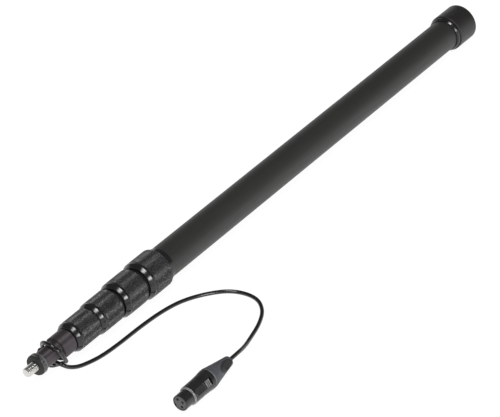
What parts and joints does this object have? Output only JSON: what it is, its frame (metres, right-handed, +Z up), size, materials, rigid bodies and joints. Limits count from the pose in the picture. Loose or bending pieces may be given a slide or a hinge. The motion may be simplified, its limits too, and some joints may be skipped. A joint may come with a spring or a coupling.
{
  "type": "boom pole",
  "caption": "Telescopic microphone boom pole with knurled twist-lock collars, an internal coiled cable, and a short lead looped round the neck to a cable socket.",
  "frame": {"origin": "on the surface the pole lies on, under the middle of the pole's length", "axes": "+X along the pole towards the microphone stud, +Z up, the lead is laid out towards +Y"},
  "size_m": [0.7404, 0.1617, 0.0404],
  "materials": {
    "anodised_tube": "satin black anodised",
    "ferrule": "polished black anodised",
    "collet_plastic": "natural acetal",
    "guide_plastic": "smooth acetal",
    "knurled_collar": "knurled black anodised",
    "nose_ring": "glossy black",
    "end_cap": "satin black anodised",
    "seal_rubber": "matt black",
    "connector_shell": "black chromate",
    "screw_steel": "blackened steel",
    "insert_plastic": "moulded black",
    "contact_metal": "gold plated",
    "cable_jacket": "glossy black",
    "tip_anodised": "satin black anodised",
    "stud_nickel": "bright, threaded",
    "xlr_housing": "black chromate",
    "xlr_latch": "satin black",
    "xlr_plastic": "moulded black",
    "xlr_boot": "soft dark grey"
  },
  "bodies": {
    "base": {"tube_1": "anodised_tube", "ferrule_1": "ferrule", "collet_1": "collet_plastic", "butt_ferrule": "ferrule", "cap_seal": "seal_rubber", "end_cap": "end_cap", "output_shell": "connector_shell", "output_screws": "screw_steel", "output_insert": "insert_plastic", "output_pins": "contact_metal", "base_lead": "cable_jacket"},
    "section_2": {"tube_2": "anodised_tube", "guide_bush_2": "guide_plastic", "ferrule_2": "ferrule", "collet_2": "collet_plastic"},
    "section_3": {"tube_3": "anodised_tube", "guide_bush_3": "guide_plastic", "ferrule_3": "ferrule", "collet_3": "collet_plastic"},
    "section_4": {"tube_4": "anodised_tube", "guide_bush_4": "guide_plastic", "ferrule_4": "ferrule", "collet_4": "collet_plastic"},
    "tip_section": {"tube_5": "anodised_tube", "guide_bush_5": "guide_plastic", "coiled_cable": "cable_jacket", "cable_tail": "cable_jacket", "tip_body": "tip_anodised", "exit_grommet": "seal_rubber", "tip_set_screw": "screw_steel", "stud_flange": "tip_anodised", "stud_washer": "seal_rubber", "mic_stud": "stud_nickel", "cord": "cable_jacket", "xlr_shell": "xlr_housing", "xlr_insert": "insert_plastic", "xlr_contacts": "contact_metal", "xlr_ring": "xlr_plastic", "xlr_chuck": "xlr_plastic", "xlr_boot": "xlr_boot", "xlr_cord_end": "cable_jacket"},
    "collar_1": {"collar_1": "knurled_collar", "nose_ring_1": "nose_ring"},
    "collar_2": {"collar_2": "knurled_collar", "nose_ring_2": "nose_ring"},
    "collar_3": {"collar_3": "knurled_collar", "nose_ring_3": "nose_ring"},
    "collar_4": {"collar_4": "knurled_collar", "nose_ring_4": "nose_ring"},
    "xlr_latch": {"xlr_latch": "xlr_latch"}
  },
  "joints": [
    {"name": "slide_1", "type": "slide", "parent": "base", "child": "section_2", "axis": [1, 0, 0], "range_m": [0, 0.514]},
    {"name": "slide_2", "type": "slide", "parent": "section_2", "child": "section_3", "axis": [1, 0, 0], "range_m": [0, 0.514]},
    {"name": "slide_3", "type": "slide", "parent": "section_3", "child": "section_4", "axis": [1, 0, 0], "range_m": [0, 0.514]},
    {"name": "slide_4", "type": "slide", "parent": "section_4", "child": "tip_section", "axis": [1, 0, 0], "range_m": [0, 0.514]},
    {"name": "collar_turn_1", "type": "hinge", "parent": "base", "child": "collar_1", "pos_m": [0.1925, 0, 0.0202], "axis": [1, 0, 0], "range_deg": [0, 150]},
    {"name": "collar_turn_2", "type": "hinge", "parent": "section_2", "child": "collar_2", "pos_m": [0.228, 0, 0.0202], "axis": [1, 0, 0], "range_deg": [0, 150]},
    {"name": "collar_turn_3", "type": "hinge", "parent": "section_3", "child": "collar_3", "pos_m": [0.2627, 0, 0.0202], "axis": [1, 0, 0], "range_deg": [0, 150]},
    {"name": "collar_turn_4", "type": "hinge", "parent": "section_4", "child": "collar_4", "pos_m": [0.2954, 0, 0.0202], "axis": [1, 0, 0], "range_deg": [0, 150]},
    {"name": "latch_press", "type": "hinge", "parent": "tip_section", "child": "xlr_latch", "pos_m": [0.298, 0.13763, 0.01554], "axis": [0, 0.6018, -0.7986], "range_deg": [0, 4], "stiffness_Nm_per_rad": 0.4, "springref_deg": -2.86}
  ]
}
